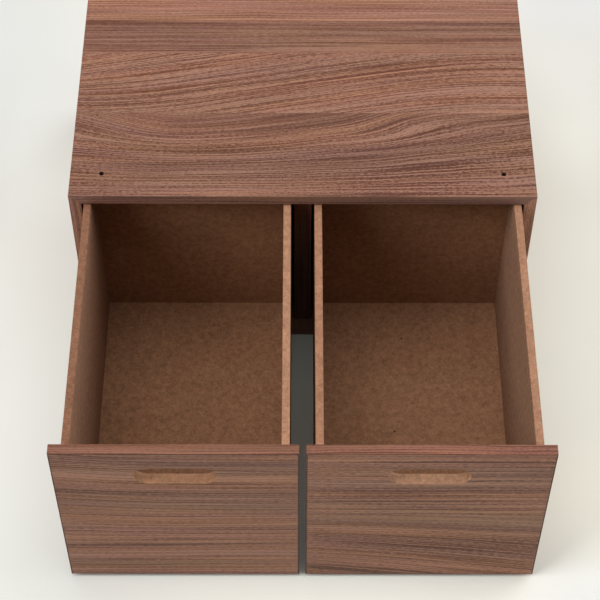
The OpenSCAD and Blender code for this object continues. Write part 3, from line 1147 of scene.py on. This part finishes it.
pins_low, pins_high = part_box("back_pins")
edge = PIN_SIZES["Head Radius"]
rows_z = (pins_low.z + edge, pins_high.z - edge)
rows_x = (pins_low.x + edge, 0.0, pins_high.x - edge)
places = [(x, pins_high.y, z) for x in PINS_ACROSS for z in rows_z]
places += [(x, pins_high.y, z) for z in PINS_UP for x in rows_x]
driven("panel_pins", "carcass", "back_pins", places, [(0, 1, 0)] * len(places), PIN_SIZES)

edge = NAIL_SIZES["Head Radius"]
for side in ("left", "right"):
    low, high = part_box(side + "_box_nails")
    middle = (low.y + high.y) / 2
    heights = spread(low.z + edge, high.z - edge, 3)
    places = [(x, middle, z) for z in heights for x in (low.x, high.x)]
    aims = [(-1, 0, 0), (1, 0, 0)] * len(heights)
    driven(side + "_corner_nails", side + "_drawer", side + "_box_nails", places, aims, NAIL_SIZES)

# %% [markdown]
# ## Floor and light
#
# The chest stands on a pale sheet in broad, soft light, as in a studio tent: a large lamp
# overhead, one on the left, and a larger one low on the right. Wide, faint patches of painted
# light and painted shade make the sheet's tone drift: they lift it where the chest's shadows
# fall too dark, dim it where the lamps light it too much, and darken and warm it between the
# drawers.

# %% Lay the floor
FLOOR_HALF = 4
# Of each patch of painted light and shade: where it lies, how far it reaches, and what it does
# to red, green and blue.
FLOOR_LIGHT_AND_SHADE = (
    (-0.34, 0.21, 0.3, (0.81, 0.83, 0.85)),
    (0.25, -0.31, 0.1, (1.09, 1.09, 1.06)),
    (0.08, -0.1, 0.37, (1.11, 1.15, 1.09)),
    (-0.22, 0.06, 0.1, (1.1, 1.11, 1.1)),
    (0.25, 0.13, 0.12, (1.13, 1.15, 1.16)),
    (-0.24, -0.3, 0.52, (1.0, 1.03, 1.05)),
    (0.0, -0.4, 0.22, (1.15, 1.15, 1.15)),
    (0.24, -0.4, 0.08, (0.9, 0.92, 0.96)),
    (0.28, 0.35, 0.17, (0.85, 0.87, 0.94)),
    (0.0, -0.25, 0.12, (0.84, 0.78, 0.75)),
)
# The far tone is painted shade: it dims the sheet far from the chest, where the lamps light it more.
WHITE, FAR_FLOOR_SHADE = (1, 1, 1, 1), (0.84, 0.84, 0.85, 1)

corners = [(x * FLOOR_HALF, y * FLOOR_HALF, 0) for x, y in ((-1, -1), (1, -1), (1, 1), (-1, 1))]
floor_data = bpy.data.meshes.new("studio_floor")
floor_data.from_pydata(corners, [], [(0, 1, 2, 3)])
floor = bpy.data.objects.new("studio_floor", floor_data)
bpy.context.collection.objects.link(floor)
paper_finish, t, place, xyz = new_finish("studio_floor")
paper = noise(t, xyz["X"], xyz["Y"], 0.0, scale=3.0)
colour = mix(t, span(t, paper, 0.3, 0.7), linear(232, 230, 222), linear(235, 234, 228))
# Painted light and shade: each patch brightens or dims the sheet round its place.
for x, y, reach, gain in FLOOR_LIGHT_AND_SHADE:
    share = span(t, away_from(t, xyz, x, y), 0.15 * reach, reach, 1, 0, smooth=True)
    colour = tinted(t, colour, mix(t, share, WHITE, (*gain, 1)))
far_shade_share = span(t, away_from(t, xyz, 0, 0), 0.5, 1.2, smooth=True)
colour = tinted(t, colour, mix(t, far_shade_share, WHITE, FAR_FLOOR_SHADE))
shader = put(t, "ShaderNodeBsdfPrincipled", colour)
shader.inputs["Roughness"].default_value = 0.9
shader.inputs["Specular IOR Level"].default_value = 0.1
put(t, "ShaderNodeOutputMaterial", shader.outputs[0])
floor_data.materials.append(paper_finish)
floor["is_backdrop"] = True
print("floor patches:", len(FLOOR_LIGHT_AND_SHADE))

# %% [markdown]
# The world shows a pale wall to the camera and in reflections, and gives the chest only a
# faint, warm fill.

# %% Light it
WALL, FILL = linear(236, 236, 231), (1.0, 0.95, 0.86, 1)
LAMP_TARGET, LAMP_DISTANCE = Vector((0, -0.15, 0.1)), 3.6
# Of each lamp: its bearing (0 in front, 90 right) and its height in degrees, its size in
# metres and its power in watts.
LAMPS = {
    "left_window": (294, 41, 2.2, 92),
    "right_window": (113, 20, 3.9, 144),
    "overhead": (0, 90, 2.7, 67),
}

world = bpy.data.worlds.new("studio")
bpy.context.scene.world = world
world.use_nodes = True
t = world.node_tree
t.nodes.clear()
path = put(t, "ShaderNodeLightPath").outputs
mirrored = sums(t, "MAXIMUM", path["Is Glossy Ray"], path["Is Transmission Ray"])
in_view = sums(t, "MAXIMUM", path["Is Camera Ray"], mirrored)
fill_light = put(t, "ShaderNodeBackground", FILL, 0.1)
wall = put(t, "ShaderNodeBackground", WALL, 1.0)
blend = put(t, "ShaderNodeMixShader", in_view, fill_light.outputs[0], wall.outputs[0])
put(t, "ShaderNodeOutputWorld", blend.outputs[0])

for name, (bearing, height, size, power) in LAMPS.items():
    turn, rise = radians(bearing), radians(height)
    way = Vector((sin(turn) * cos(rise), -cos(turn) * cos(rise), sin(rise)))
    data = bpy.data.lights.new(name, "AREA")
    data.shape, data.size, data.energy = "SQUARE", size, power
    lamp = bpy.data.objects.new(name, data)
    lamp.location = LAMP_TARGET + way * LAMP_DISTANCE
    lamp.rotation_euler = (LAMP_TARGET - lamp.location).to_track_quat("-Z", "Y").to_euler()
    bpy.context.collection.objects.link(lamp)

# %% Measure the visual size
low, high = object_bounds()
print("visual size in mm:", [round(v / MM, 1) for v in high - low])
